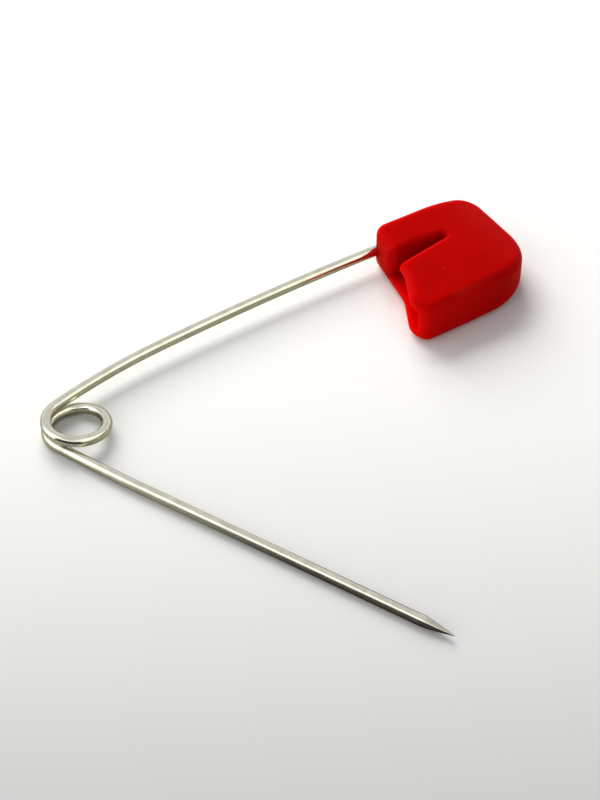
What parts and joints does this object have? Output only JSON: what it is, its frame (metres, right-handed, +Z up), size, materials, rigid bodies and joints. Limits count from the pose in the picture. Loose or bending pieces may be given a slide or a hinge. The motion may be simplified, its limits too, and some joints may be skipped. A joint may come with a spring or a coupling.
{
  "type": "safety pin",
  "caption": "Large safety pin: a bright spring wire with a coil and a ground point, and a moulded plastic head with a slot and a pocket that shields the point.",
  "frame": {"origin": "the coil's axis on the surface that the open pin lies on", "axes": "+X along the fixed arm from the coil to the head, +Z up out of the head's slotted face, the pin arm opens towards -Y"},
  "size_m": [0.0579, 0.0511, 0.0053],
  "materials": {
    "wire": "polished",
    "head": "satin"
  },
  "bodies": {
    "fixed_wire_and_head": {"head": "head", "wire_anchor": "wire", "fixed_arm": "wire", "coil_spring": "wire"},
    "root": {"arm_root": "wire"},
    "neck": {"arm_neck": "wire"},
    "pin": {"pin_arm": "wire", "pin_point": "wire"}
  },
  "joints": [
    {"name": "arm_swing", "type": "hinge", "parent": "fixed_wire_and_head", "child": "root", "pos_m": [0, 0, 0.00057], "axis": [0, 0, -1], "range_deg": [-57.2, 15], "stiffness_Nm_per_rad": 0.58, "deforming": ["coil_spring"]},
    {"name": "arm_lift", "type": "hinge", "parent": "root", "child": "neck", "pos_m": [-0.00162, -0.00413, 0.00057], "axis": [-0.9186, -0.3952, 0], "range_deg": [0, 9.5], "stiffness_Nm_per_rad": 0.5},
    {"name": "arm_flex", "type": "hinge", "parent": "neck", "child": "pin", "pos_m": [-0.00005, -0.0077, 0.00057], "axis": [0.1707, 0.0773, -0.9823], "range_deg": [-17, 0], "stiffness_Nm_per_rad": 0.66}
  ]
}
